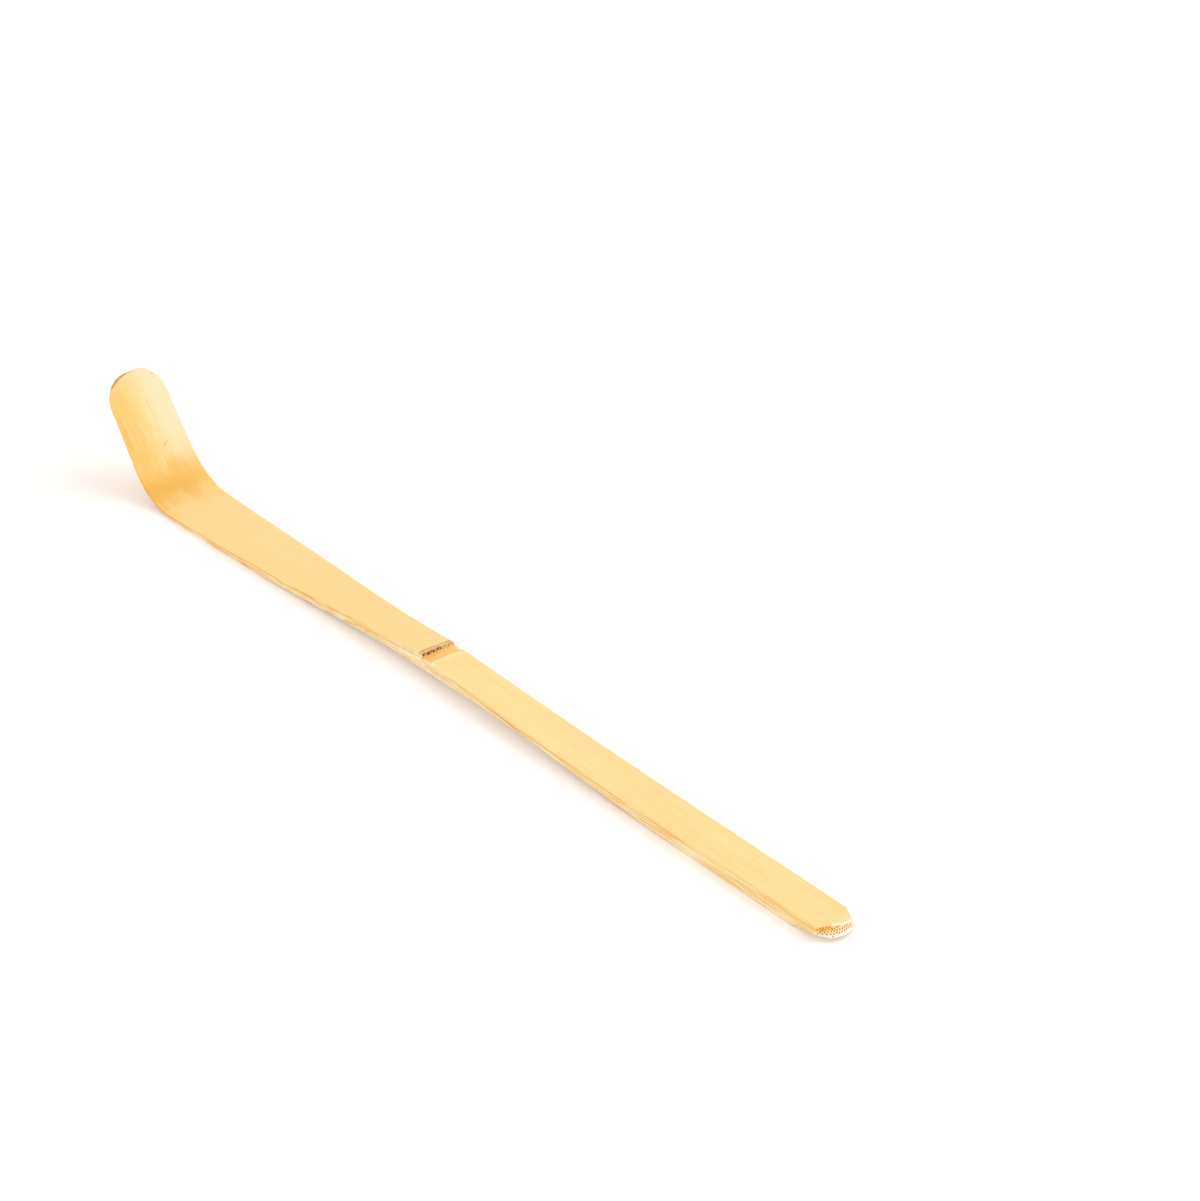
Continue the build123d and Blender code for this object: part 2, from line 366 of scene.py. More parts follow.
def shaved(points):
    """Last knife stroke, under the cut end's corner on the -Y side."""
    half = half_width(END_X)
    corner = np.array([END_X - STROKE_LENGTH, -half, 0])
    along = np.array([STROKE_LENGTH, STROKE_WIDTH, 0])
    upward = np.array([STROKE_LENGTH, 0, STROKE_HEIGHT])
    outward = np.cross(along, upward)
    outward = outward / np.linalg.norm(outward) * np.sign(-outward[1])
    past = np.maximum((points - corner) @ outward, 0)
    return points - past[..., None] * outward


def knife_facets(along, depth, side):
    """How far in the long shallow facets go that the knife leaves down an edge."""
    drift = 0.11 * np.sin(along / 9.0 + side) + 0.05 * np.sin(along / 3.7 + 2 * side)
    across_facet = (depth + drift) / FACET_WIDTH + 0.3 * side
    ridge = np.abs(2 * (across_facet % 1) - 1)
    return FACET_DEPTH * (1 - ridge**3)


def rim_rows(top, sole, skin_edge, sole_edge, top_round, sole_round):
    """Rows from the skin's edge, over the rounded arris, down the flank and under to the sole."""
    down = sole - top
    deep = np.linalg.norm(down, axis=-1, keepdims=True)
    down = down / deep
    room = np.minimum(1, 0.45 * deep / np.maximum(top_round, sole_round))
    brow, foot = top + down * top_round * room, sole - down * sole_round * room
    rows = []
    for step in range(1, ROUND_STEPS + 1):
        t = step / ROUND_STEPS
        rows.append((1 - t)**2 * skin_edge + 2 * t * (1 - t) * top + t**2 * brow)
    for step in range(1, FLANK_STEPS + 1):
        rows.append(mixed(brow, foot, step / FLANK_STEPS))
    for step in range(1, ROUND_STEPS):
        t = step / ROUND_STEPS
        rows.append((1 - t)**2 * foot + 2 * t * (1 - t) * sole + t**2 * sole_edge)
    return np.array(rows)


def faceted(rim, outward, along):
    """Presses the knife's facets into the long edges, fading towards both arrises."""
    depth = np.linalg.norm(rim - rim[:1], axis=-1)
    side = outward[:, 1]
    row = np.arange(len(rim))[:, None]
    below_top = eased(row, ROUND_STEPS - 2, ROUND_STEPS + 2)
    above_sole = eased(len(rim) - row, ROUND_STEPS - 1, ROUND_STEPS + 3)
    held = below_top * above_sole * eased(np.abs(side), 0.8, 1.0)
    inward = knife_facets(along[None], depth, np.sign(side)[None]) * held
    return rim - inward[..., None] * np.array([0, 1, 0]) * np.sign(side)[None, :, None]


def grid_faces(index):
    """Quads between the rows and columns of a table of vertex numbers."""
    corners = index[:-1, :-1], index[:-1, 1:], index[1:, 1:], index[1:, :-1]
    return np.stack(corners, -1).reshape(-1, 4)


def height_over_edge(points, along):
    x, z, lift = spine(along)
    return (points[:, 0] - x) * np.sin(lift) + (points[:, 2] - z) * np.cos(lift)


def finish_marks(skin_plan, sole_plan, rim_plan, outward, points):
    """What the finish reads at every point: place in the strip, skin, cut, flank and inset."""
    rows, columns = rim_plan.shape[:2]
    flat = np.zeros(skin_plan[..., 0].size)
    plan = np.concatenate([part.reshape(-1, 2) for part in (skin_plan, sole_plan, rim_plan)])
    depth = culm_height(plan[:, 0], plan[:, 1]) - height_over_edge(points, plan[:, 0])
    rim_skin = np.repeat(np.clip(1 - np.arange(1, rows + 1) / ROUND_STEPS, 0, 1), columns)
    cut = eased(np.abs(outward[:, 0]), 0.5, 0.8)
    inset = (half_width(skin_plan[..., 0]) - np.abs(skin_plan[..., 1])).ravel()
    return {"place": np.concatenate([plan, depth[:, None]], 1),
            "skin": np.concatenate([flat + 1, flat, rim_skin]),
            "cut": np.concatenate([flat, flat, np.tile(cut, rows)]),
            "flank": np.concatenate([flat, flat, np.ones(rows * columns)]),
            "inset": np.concatenate([inset, inset, np.zeros(rows * columns)])}


def strip_mesh():
    """The whole scoop as one closed mesh, with what its finish needs to know at every point."""
    deck = outline_sides(HANDLE_HEIGHT, EDGE_ROUND, 0.0, True, END_PARE)
    sharp_deck = outline_sides(HANDLE_HEIGHT, 0.0, 0.0, True)
    keel = outline_sides(LIFT_HEIGHT, SOLE_ROUND, FLANK_LEAN, False)
    sharp_keel = outline_sides(LIFT_HEIGHT, 0.0, FLANK_LEAN, False)
    near = deck[0][0]
    near[1:, 1] += near_round(near[1:, 0]) - EDGE_ROUND
    skin_plan = patched(*(side[0] for side in deck))
    sole_plan = patched(*(side[0] for side in keel))
    skin, sole = on_skin(skin_plan), on_sole(sole_plan)
    top_plan = around(*(side[0] for side in sharp_deck))
    low_plan = around(*(side[0] for side in sharp_keel))
    outward = around(*(side[1] for side in sharp_deck))
    half = half_width(top_plan[:, 0])
    near_share = eased(-top_plan[:, 1], half - 1.2, half)[:, None]
    top_round = mixed(EDGE_ROUND, near_round(top_plan[:, :1]), near_share)

    skin_index = np.arange(skin_plan[..., 0].size).reshape(skin_plan.shape[:2])
    skin_loop = around(skin_index[:, 0], skin_index[:, -1], skin_index[-1], skin_index[0])
    rim = rim_rows(on_skin(top_plan), on_sole(low_plan), skin.reshape(-1, 3)[skin_loop],
                   sole.reshape(-1, 3)[skin_loop], top_round, SOLE_ROUND)
    rim = faceted(rim, outward, top_plan[:, 0])
    rim_index = 2 * skin_index.size + np.arange(rim[..., 0].size).reshape(rim.shape[:2])
    loops = np.concatenate([skin_loop[None], rim_index, skin_loop[None] + skin_index.size])
    loops = np.concatenate([loops, loops[:, :1]], 1)
    faces = np.concatenate([grid_faces(skin_index), grid_faces(skin_index + skin_index.size)[:, ::-1],
                            grid_faces(loops)])
    points = np.concatenate([skin.reshape(-1, 3), sole.reshape(-1, 3), rim.reshape(-1, 3)])

    down_share = np.linspace(0, 1, len(rim) + 2)[1:-1, None, None]
    rim_plan = mixed(top_plan[None], low_plan[None], down_share)
    marks = finish_marks(skin_plan, sole_plan, rim_plan, outward, points)
    return shaved(points), faces, marks


def made_object(name, points, faces, marks, finish):
    mesh = bpy.data.meshes.new(name)
    mesh.from_pydata((points / METRE).tolist(), [], faces.tolist())
    mesh.validate()
    for mark, values in marks.items():
        kind = "FLOAT_VECTOR" if values.ndim == 2 else "FLOAT"
        attribute = mesh.attributes.new(mark, kind, "POINT")
        field = "vector" if values.ndim == 2 else "value"
        attribute.data.foreach_set(field, np.ascontiguousarray(values, np.float32).ravel())
    mesh.shade_smooth()
    mesh.materials.append(finish)
    return linked(name, mesh)


def linked(name, data):
    made = bpy.data.objects.new(name, data)
    bpy.context.scene.collection.objects.link(made)
    return made


def paint(code):
    """Linear colour from a hex code."""
    parts = [int(code[i:i + 2], 16) / 255 for i in (1, 3, 5)]
    return (*[p / 12.92 if p <= 0.04045 else ((p + 0.055) / 1.055)**2.4 for p in parts], 1.0)


class Shade:
    """A socket that plain arithmetic can be done on."""

    def __init__(self, board, socket):
        self.board, self.socket = board, socket

    def _sum(self, operation, first, second=0.0):
        return self.board.node("ShaderNodeMath", {"operation": operation}, {0: first, 1: second})

    def __add__(self, other):
        return self._sum("ADD", self, other)

    def __sub__(self, other):
        return self._sum("SUBTRACT", self, other)

    def __rsub__(self, other):
        return self._sum("SUBTRACT", other, self)

    def __mul__(self, other):
        return self._sum("MULTIPLY", self, other)

    def __truediv__(self, other):
        return self._sum("DIVIDE", self, other)

    def __rtruediv__(self, other):
        return self._sum("DIVIDE", other, self)

    def __mod__(self, other):
        return self._sum("MODULO", self, other)

    def __abs__(self):
        return self._sum("ABSOLUTE", self)

    __radd__ = __add__
    __rmul__ = __mul__


class Board:
    """A node tree that a finish, a surround or a pattern of grains is wired on."""

    def __init__(self, tree):
        self.tree = tree
        self.tree.nodes.clear()

    def wire(self, value, socket):
        """Links a value to a socket, or writes it there."""
        if isinstance(value, Shade):
            self.tree.links.new(value.socket, socket)
        else:
            socket.default_value = value

    def add(self, kind, settings=None, inputs=None):
        """A node of any type: its settings come first, then the values or links of its sockets."""
        made = self.tree.nodes.new(kind)
        for key, value in (settings or {}).items():
            setattr(made, key, value)
        for key, value in (inputs or {}).items():
            self.wire(value, made.inputs[key])
        return made

    def node(self, kind, settings=None, inputs=None, output=0):
        """One output of a new node."""
        return Shade(self, self.add(kind, settings, inputs).outputs[output])

    def mix(self, share, first, second):
        return self.node("ShaderNodeMix", {"data_type": "RGBA"}, {0: share, 6: first, 7: second}, output=2)


class Finish(Board):
    """One material under construction."""

    def __init__(self, name):
        self.material = bpy.data.materials.new(name)
        self.material.use_nodes = True
        super().__init__(self.material.node_tree)

    def mark(self, name):
        """A number kept on the mesh."""
        return self.node("ShaderNodeAttribute", {"attribute_name": name}, output="Fac")

    def place(self):
        """Along, across and depth in the strip, in millimetres."""
        vector = self.node("ShaderNodeAttribute", {"attribute_name": "place"}, output="Vector")
        return [self.node("ShaderNodeSeparateXYZ", inputs={0: vector}, output=axis) for axis in "XYZ"]

    def noise(self, x, y, z, detail=3.0, rough=0.55, seed=0.0):
        vector = self.node("ShaderNodeCombineXYZ", inputs={0: x, 1: y, 2: z})
        return self.node("ShaderNodeTexNoise", {"noise_dimensions": "4D"},
                         {"Vector": vector, "W": seed, "Scale": 1.0, "Detail": detail,
                          "Roughness": rough})

    def eased(self, value, start, stop):
        """0 at start, 1 at stop, and clamped beyond both. Start may be the larger of the two."""
        return self.node("ShaderNodeMapRange", {"interpolation_type": "SMOOTHSTEP"},
                         {"Value": value, "From Min": start, "From Max": stop})

    def near(self, value, middle, reach):
        """1 at the middle and 0 beyond reach on both sides."""
        return self.eased(abs(value - middle), reach, 0.0)

    def stripes(self, value, period):
        """Regular soft stripes from 0 to 1 along a value."""
        swing = self.node("ShaderNodeMath", {"operation": "SINE"}, {0: value * (2 * pi / period)})
        return swing * 0.5 + 0.5

    def surface(self, height=None, distance=0.0001, **values):
        """Closes the finish with one shader, and with a bump where a height is given."""
        if height is not None:
            values["Normal"] = self.node("ShaderNodeBump", inputs={
                "Strength": 1.0, "Distance": distance, "Height": height})
        shader = self.node("ShaderNodeBsdfPrincipled", inputs=values)
        self.add("ShaderNodeOutputMaterial", inputs={"Surface": shader})
        return self.material


def skin_tone(f, at):
    """Outer skin of the culm: pale straw with soft lengthwise clouds, fine fibre lines and flecks."""
    cloud = f.noise(at.along * 0.03, at.across * 0.25, 0.0, 2.0, seed=1.0)
    colour = f.mix(f.eased(cloud, 0.3, 0.7), paint("#FBDD98"), paint("#FBD790"))
    colour = f.mix(f.eased(at.grain, 0.4, 0.75) * 0.4, colour, paint("#F8CC7E"))
    colour = f.mix(f.eased(at.streak, 0.5, 0.68) * 0.3, colour, paint("#FFECBE"))
    colour = f.mix(f.eased(at.streak, 0.46, 0.32) * 0.3, colour, paint("#F4C272"))
    fleck = f.noise(at.along * 1.1, at.across * 3.0, 0.0, 2.0, 0.6, seed=15.0)
    colour = f.mix(f.eased(fleck, 0.64, 0.74) * 0.35, colour, paint("#E9B064"))
    stem = f.eased(at.along, NODE_X, NODE_X - 1)
    return f.mix(stem * 0.5, colour, paint("#FCD38A"))


def blade_tone(f, at, colour):
    """Blade and bend: painted shade down the -Y side, a painted sheen down the other, and toasted where it
    bends.
    """
    past = BEND_X - at.along
    blotch = f.noise(at.along * 0.22, at.across * 0.28, 0.0, 3.0, 0.6, seed=17.0)
    drift = (blotch - 0.5) * 6 + (at.grain - 0.5) * 4 + (at.streak - 0.5) * 3
    blade = f.eased(past, 2.0, 12.0)
    # Darker orange down the -Y side of the bend and blade: painted shade on the side turned from the key
    # light.
    warm = f.eased(at.across + at.grain * 3.0, 2.4, -2.6) * f.eased(past + drift, 30.0, 21.0)
    # Paler down the +Y side of the blade: a painted sheen where the crowned blade faces the key light.
    pale = f.eased(at.across + at.grain * 3.0, 0.8, 4.6) * f.eased(past + drift, 7.5, 12.5)
    painted_shade_colour = f.mix(f.eased(at.streak, 0.38, 0.62), paint("#F7BE58"), paint("#F9C869"))
    colour = f.mix(blade * warm * 0.85, colour, painted_shade_colour)
    colour = f.mix(blade * pale * 0.8, colour, paint("#FDE4B8"))
    colour = f.mix(f.eased(at.streak, 0.5, 0.64) * blade * 0.2, colour, paint("#FFEDC4"))
    spread = f.near(past + drift, 6.2, 10.5)
    colour = f.mix(spread * 0.5, colour, paint("#F3C05C"))
    toast = f.near(past + drift - at.across * 0.1, 6.2, 5.6)
    toast = toast * (1 - f.eased(at.across, 1.5, 4.8) * 0.4)
    return f.mix(toast * 0.8, colour, paint("#EBAD38"))


def fibre_tone(f, at):
    """Bare fibre on the flanks and the sole: straw, striped orange where bundles are laid open."""
    wander = f.noise(at.along * 0.05, 0.0, at.depth * 0.4, 2.0, 0.5, seed=6.0)
    stripe = f.stripes(at.depth + wander * 1.3, 0.46)
    opened = f.noise(at.along * 0.08, at.across * 3.0, at.depth * 4.5, 3.0, 0.55, seed=5.0)
    colour = f.mix(f.eased(stripe, 0.35, 0.75) * at.flank, paint("#FFE5AA"), paint("#FFCD78"))
    colour = f.mix(f.eased(at.streak, 0.46, 0.55) * 0.85, colour, paint("#FFF3C8"))
    shown = 0.35 + at.flank * 0.5
    colour = f.mix(f.eased(opened, 0.52, 0.59) * shown, colour, paint("#F8AE48"))
    under_skin = f.near(at.depth, 0.36, 0.36) * f.eased(opened, 0.45, 0.54)
    return f.mix(under_skin * 0.85, colour, paint("#F7A83C"))


def end_tone(f, at):
    """Cut end: cream ground under the bundles, and the rim beneath its far top edge, bare of bundles and
    painted near-white as a highlight.
    """
    below = at.depth - at.across * BAND_TILT
    ground = f.mix(f.eased(at.depth, 0.4, 1.35), paint("#FFD391"), paint("#FFF4E0"))
    ground = f.mix(f.eased(at.depth, 1.5, 2.0) * 0.5, ground, paint("#FDE6D0"))
    lines = f.noise(0.0, at.across * 0.35, below * 7.0, 3.0, 0.7, seed=8.0)
    # The near-white of this rim is a painted highlight on the facet that faces the key light; its orange
    # lines are grain.
    rim = f.mix(f.eased(lines, 0.5, 0.62), paint("#FFF8E4"), paint("#FBD795"))
    rim = f.mix(f.eased(below, 0.22, 0.1), rim, paint("#FCDB98"))
    near_top = f.eased(at.across, -0.6, -1.8) * f.eased(at.depth, 0.75, 0.25)
    ground = f.mix(near_top * 0.85, ground, paint("#F5B045"))
    return f.mix(f.eased(below, 0.5, 0.36) * f.eased(at.across, -1.6, -0.9), ground, rim)


def tip_tone(f, at):
    """Edge of the tip, brown and speckled."""
    speck = f.noise(at.along * 3.0, at.across * 3.0, at.depth * 6.0, 2.0, seed=11.0)
    return f.mix(f.eased(speck, 0.35, 0.65), paint("#C58A50"), paint("#E6B480"))


def node_tone(f, at, colour):
    """Scar line, tan band, painted shade at the foot of the ledge, the smooth orange hollow behind it,
    partly painted shade on its slope and darkest towards the ledge, and a painted highlight along its brow.
    """
    past = at.along - NODE_X
    ragged = f.noise(at.along * 1.5, at.across * 3.0, 0.0, 3.0, seed=7.0)
    wave = past + ragged * 0.16 - 0.08
    band = f.eased(wave, -SCAR_DISTANCE - 0.1, -SCAR_DISTANCE + 0.05) * f.eased(wave, 0.15, -0.1)
    tan = f.mix(f.eased(at.fine, 0.4, 0.65), paint("#EDBD76"), paint("#DFA458"))
    colour = f.mix(band * at.skin * 0.9, colour, tan)
    scar = f.near(wave, -SCAR_DISTANCE, 0.15) * f.eased(ragged, 0.25, 0.5)
    colour = f.mix(scar * at.skin * 0.75, colour, paint("#A06A33"))
    # Darker at the foot of the ledge: painted shade in the crease.
    foot = f.near(wave, 0.1, 0.25) * f.eased(at.across + ragged * 3, 5.5, 0.0)
    colour = f.mix(foot * at.skin * 0.4, colour, paint("#B06F30"))
    ramped = f.eased(past + at.fine * 0.6, HOLLOW_LENGTH + 0.5, HOLLOW_LENGTH - HOLLOW_RAMP)
    hollow = f.eased(past, 0.1, 0.3) * ramped
    # Darker towards the ledge and the -Y side of the hollow: painted shade in the recess.
    deep = f.eased(past, 2.0, 0.4) * f.eased(at.across, 3.0, -3.0)
    hollow_and_shade_colour = f.mix(deep * 0.7, paint("#FBC46C"), paint("#F2A945"))
    colour = f.mix(hollow * at.skin * 0.9, colour, hollow_and_shade_colour)
    # Pale line along the low brow: a painted highlight where the ridge catches the light.
    brow = f.near(past, HOLLOW_LENGTH + 0.35, 0.6)
    colour = f.mix(brow * at.skin * 0.25, colour, paint("#FFEDC0"))
    shave = f.near(past, 0.0, 13.0) * at.flank * f.eased(at.across, 0.0, -2.0) * (1 - at.cut)
    torn = f.noise(at.along * 0.6, at.across * 2.5, at.depth * 3.5, 3.0, 0.65, seed=21.0)
    colour = f.mix(shave * f.eased(torn, 0.48, 0.56) * 0.9, colour, paint("#FFF7DA"))
    colour = f.mix(shave * f.eased(at.streak, 0.48, 0.58) * 0.7, colour, paint("#FFF2CC"))
    return f.mix(shave * f.eased(at.streak, 0.47, 0.38) * 0.8, colour, paint("#F4AE58"))


def scratch(f, at, along, across, run, turn, width):
    """Share of a short scratch with its middle at one place, turned from the length."""
    step, aside = at.along - along, at.across - across
    down = step * cos(turn) + aside * sin(turn)
    over = aside * cos(turn) - step * sin(turn)
    return f.near(down, 0.0, run) * f.near(over, 0.0, width)


def worn(f, at, colour):
    """Lines, scratches and flecks that handling has left on the blade and along the arrises, and a painted
    highlight beside the blade's middle line.
    """
    line = f.near(at.across + at.grain * 0.3, 1.05, 0.14) * f.near(BEND_X - at.along, 19.5, 8.0)
    colour = f.mix(line * at.skin * 0.5, colour, paint("#EFA94A"))
    # Pale line beside the blade's middle line: a painted highlight, not a mark.
    painted_glint = f.near(at.across + at.grain * 0.3, 0.8, 0.2) * f.near(BEND_X - at.along, 20.0, 8.0)
    colour = f.mix(painted_glint * at.skin * 0.4, colour, paint("#FFEFC8"))
    edge_line = f.near(at.across, -5.05, 0.14) * f.near(BEND_X - at.along, 15.5, 3.0)
    colour = f.mix(edge_line * at.skin * 0.6, colour, paint("#EDA23E"))
    for along, across, run, turn, width in SCRATCHES:
        mark = scratch(f, at, BEND_X + along, across, run, turn, width)
        colour = f.mix(mark * at.skin * 0.9, colour, paint("#D0852F"))
    rubbed = f.eased(at.inset, 0.3, 0.02) * f.eased(at.grain, 0.35, 0.6)
    colour = f.mix(rubbed * at.skin * 0.35, colour, paint("#F8BE6A"))
    near_edge = f.eased(at.inset, 1.1, 0.1) * f.eased(at.across, 0.0, -1.0)
    smear = near_edge * f.eased(at.along, END_X - 34, END_X - 8)
    opened = f.eased(f.noise(at.along * 0.11, at.across * 5.5, 0.0, 2.0, seed=13.0), 0.55, 0.66)
    return f.mix(smear * opened * at.skin * 0.75, colour, paint("#F7B868"))


def bamboo_finish():
    """Satin culm skin, bare fibre on flanks and sole, toasted bend, end grain and node scar."""
    f = Finish("bamboo")
    along, across, depth = f.place()
    at = SimpleNamespace(
        along=along, across=across, depth=depth, skin=f.mark("skin"), cut=f.mark("cut"),
        flank=f.mark("flank"), inset=f.mark("inset"),
        grain=f.noise(along * 0.05, across * 1.6, depth * 1.6, 4.0, 0.6, seed=2.0),
        streak=f.noise(along * 0.12, across * 4.4, depth * 4.6, 3.0, 0.6, seed=19.0),
        fine=f.noise(along * 0.16, across * 9.0, depth * 9.0, 3.0, 0.6, seed=3.0))
    colour = f.mix(at.skin, fibre_tone(f, at), skin_tone(f, at))
    colour = blade_tone(f, at, colour)
    cut = f.mix(f.eased(at.along, -1.0, 1.0), tip_tone(f, at), end_tone(f, at))
    colour = f.mix(at.cut * (1 - at.skin * 0.6), colour, cut)
    colour = worn(f, at, node_tone(f, at, colour))
    septum = f.near(at.along + at.grain, NODE_X + 0.9, 0.9) * (1 - at.skin) * (1 - at.flank)
    colour = f.mix(septum * 0.6, colour, paint("#D9A468"))
    rough = 0.62 - at.skin * 0.2 + at.grain * 0.1 + at.cut * 0.1
    relief = at.grain * 0.3 + at.fine * (0.25 + at.flank * 0.5)
    return f.surface(height=relief, distance=0.00004, **{
        "Base Color": colour, "Roughness": rough, "Specular IOR Level": 0.4})


def fibre_end_finish(name, dark, light, dark_until, fineness, rough):
    """Ends of cut fibres, clouded between two browns."""
    f = Finish(name)
    place = f.node("ShaderNodeTexCoord", output="Object")
    cloud = f.node("ShaderNodeTexNoise", inputs={"Vector": place, "Scale": fineness})
    colour = f.mix(f.eased(cloud, dark_until, 0.7), paint(dark), paint(light))
    return f.surface(**{"Base Color": colour, "Roughness": rough})


class Weave(Board):
    """A geometry node tree with named inputs."""

    def __init__(self, name, inputs, output):
        super().__init__(bpy.data.node_groups.new(name, "GeometryNodeTree"))
        for label, kind in inputs:
            self.tree.interface.new_socket(label, in_out="INPUT", socket_type="NodeSocket" + kind)
        self.tree.interface.new_socket(output, in_out="OUTPUT", socket_type="NodeSocketGeometry")
        given = self.add("NodeGroupInput")
        self.given = {label: Shade(self, given.outputs[label]) for label, _ in inputs}

    def vectors(self, operation, first, second, output="Vector"):
        return self.node("ShaderNodeVectorMath", {"operation": operation}, {0: first, 1: second}, output)

    def scaled(self, vector, scale):
        return self.node("ShaderNodeVectorMath", {"operation": "SCALE"}, {0: vector, "Scale": scale})

    def turned(self, upward, forward):
        """Rotation that brings Z to one direction, and X as near as it can to another."""
        return self.node("FunctionNodeAxesToRotation", {"primary_axis": "Z", "secondary_axis": "X"},
                         {0: upward, 1: forward})


def scattered(w):
    """Staggered grid of points that stands off the surface and faces it."""
    given = w.given
    grid = w.node("GeometryNodeMeshGrid", inputs={
        "Size X": given["Width"], "Size Y": given["Height"],
        "Vertices X": given["Columns"], "Vertices Y": given["Rows"]})
    is_odd = w.node("GeometryNodeInputIndex") % given["Rows"] % 2.0
    column = given["Width"] / given["Columns"]
    shift = w.node("ShaderNodeCombineXYZ", inputs={"X": is_odd * column * 0.5})
    loose = w.node("FunctionNodeRandomValue", {"data_type": "FLOAT_VECTOR"},
                   {"Min": (-1, -1, 0), "Max": (1, 1, 0), "Seed": given["Seed"]})
    strayed = w.vectors("ADD", shift, w.scaled(loose, given["Wander"]))
    staggered = w.node("GeometryNodeSetPosition", inputs={"Geometry": grid, "Offset": strayed})
    return w.node("GeometryNodeTransform", inputs={
        "Geometry": staggered, "Translation": given["Middle"],
        "Rotation": w.turned(given["Facing"], (0, 1, 0))})


def landed(w, points):
    """Drops the points onto the surface. Gives them with the normal there and which are kept."""
    given = w.given
    crowd = w.node("GeometryNodeInputNamedAttribute", {"data_type": "FLOAT"}, {"Name": "crowd"})
    hit = w.add("GeometryNodeRaycast", inputs={
        "Target Geometry": given["Surface"], "Attribute": crowd, "Ray Length": 0.01,
        "Ray Direction": w.scaled(given["Facing"], -1.0)}).outputs
    held = w.add("GeometryNodeCaptureAttribute")
    for label, kind, source in (("Normal", "VECTOR", "Hit Normal"), ("Crowd", "FLOAT", "Attribute"),
                                ("Landed", "BOOLEAN", "Is Hit")):
        held.capture_items.new(kind, label)
        w.wire(Shade(w, hit[source]), held.inputs[label])
    w.wire(points, held.inputs["Geometry"])
    geometry, normal, crowded, is_hit = (
        Shade(w, held.outputs[label]) for label in ("Geometry", "Normal", "Crowd", "Landed"))
    dropped = w.node("GeometryNodeSetPosition", inputs={
        "Geometry": geometry, "Position": Shade(w, hit["Hit Position"])})
    chance = w.node("FunctionNodeRandomValue", {"data_type": "FLOAT"}, {"Seed": given["Seed"]}, output=1)
    wanted = w.node("FunctionNodeCompare", {"data_type": "FLOAT", "operation": "GREATER_THAN"},
                    {"A": crowded, "B": chance})
    return dropped, normal, w.node("FunctionNodeBooleanMath", inputs={0: wanted, 1: is_hit})


def cut_fibre_tree():
    """Geometry nodes that show where the culm's fibre bundles come out of a cut surface.

    A staggered grid stands off the surface. Its points drop onto the surface where it is crowded
    enough, and each gets a grain that is longer the flatter its bundle is cut."""
    w = Weave("cut_fibres", (
        ("Surface", "Geometry"), ("Grain", "Object"), ("Finish", "Material"), ("Middle", "Vector"),
        ("Facing", "Vector"), ("Fibre", "Vector"), ("Width", "Float"), ("Height", "Float"),
        ("Columns", "Int"), ("Rows", "Int"), ("Wander", "Float"), ("Smallest", "Float"),
        ("Largest", "Float"), ("Longest", "Float"), ("Seed", "Int")), "Grains")
    given = w.given
    points, normal, kept = landed(w, scattered(w))
    square = w.vectors("DOT_PRODUCT", given["Fibre"], normal, output="Value")
    lay = w.vectors("SUBTRACT", given["Fibre"], w.scaled(normal, square))
    stretch = w.node("ShaderNodeMath", {"operation": "MINIMUM"}, {0: 1.0 / abs(square), 1: given["Longest"]})
    size = w.node("FunctionNodeRandomValue", {"data_type": "FLOAT"},
                  {2: given["Smallest"], 3: given["Largest"], "Seed": given["Seed"]}, output=1)
    scale = w.node("ShaderNodeCombineXYZ", inputs={"X": size * stretch, "Y": size, "Z": size})
    grain = w.node("GeometryNodeObjectInfo", inputs={"Object": given["Grain"]}, output="Geometry")
    copies = w.node("GeometryNodeInstanceOnPoints", inputs={
        "Points": points, "Selection": kept, "Instance": grain,
        "Rotation": w.turned(normal, lay), "Scale": scale})
    real = w.node("GeometryNodeRealizeInstances", inputs={"Geometry": copies})
    dressed = w.node("GeometryNodeSetMaterial", inputs={"Geometry": real, "Material": given["Finish"]})
    w.add("NodeGroupOutput", inputs={"Grains": dressed})
    return w.tree


def grain_bead(name, width, height):
    """Low bead that one grain is a copy of, flat on the surface, with few faces."""
    sides = 10
    levels = ((-1.0, 1.0), (0.35, 1.0), (0.85, 0.72))
    ring = [(cos(2 * pi * i / sides), sin(2 * pi * i / sides)) for i in range(sides)]
    points = [(x * width * share / 2, y * width * share / 2, height * level)
              for level, share in levels for x, y in ring]
    points += [(0, 0, height), (0, 0, -height)]
    top, bottom = len(points) - 2, len(points) - 1
    last = (len(levels) - 1) * sides
    steps = [(i, (i + 1) % sides) for i in range(sides)]
    faces = [(low + i, low + after, low + sides + after, low + sides + i)
             for low in range(0, last, sides) for i, after in steps]
    faces += [(last + i, last + after, top) for i, after in steps]
    faces += [(after, i, bottom) for i, after in steps]
    mesh = bpy.data.meshes.new(name)
    mesh.from_pydata([tuple(c / METRE for c in p) for p in points], [], faces)
    return linked(name, mesh)


def cut_fibres(name, tree, ground, bead, **values):
    """Shows the fibres cut through on the ground, as one plain mesh object."""
    modifier = ground.modifiers.new("cut_fibres", "NODES")
    modifier.node_group = tree
    values["Grain"] = bead
    for item in tree.interface.items_tree:
        if item.in_out == "INPUT" and item.name in values:
            modifier[item.identifier] = values[item.name]
    graph = bpy.context.evaluated_depsgraph_get()
    mesh = bpy.data.meshes.new_from_object(ground.evaluated_get(graph), depsgraph=graph)
    mesh.name = name
    mesh.shade_smooth()
    for spare in (ground, bead):
        bpy.data.objects.remove(spare)
    return linked(name, mesh)


def ground_of(points, faces, keep, crowd):
    """Copy of the faces whose points are all kept, with how crowded grains are there."""
    return made_object("ground", points, faces[keep[faces].all(1)], {"crowd": crowd}, None)


def dress(piece):
    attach(piece, "root")


points, faces, marks = strip_mesh()
scoop = made_object("carved_strip", points, faces, marks, bamboo_finish())
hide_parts("bamboo_scoop")
dress(scoop)

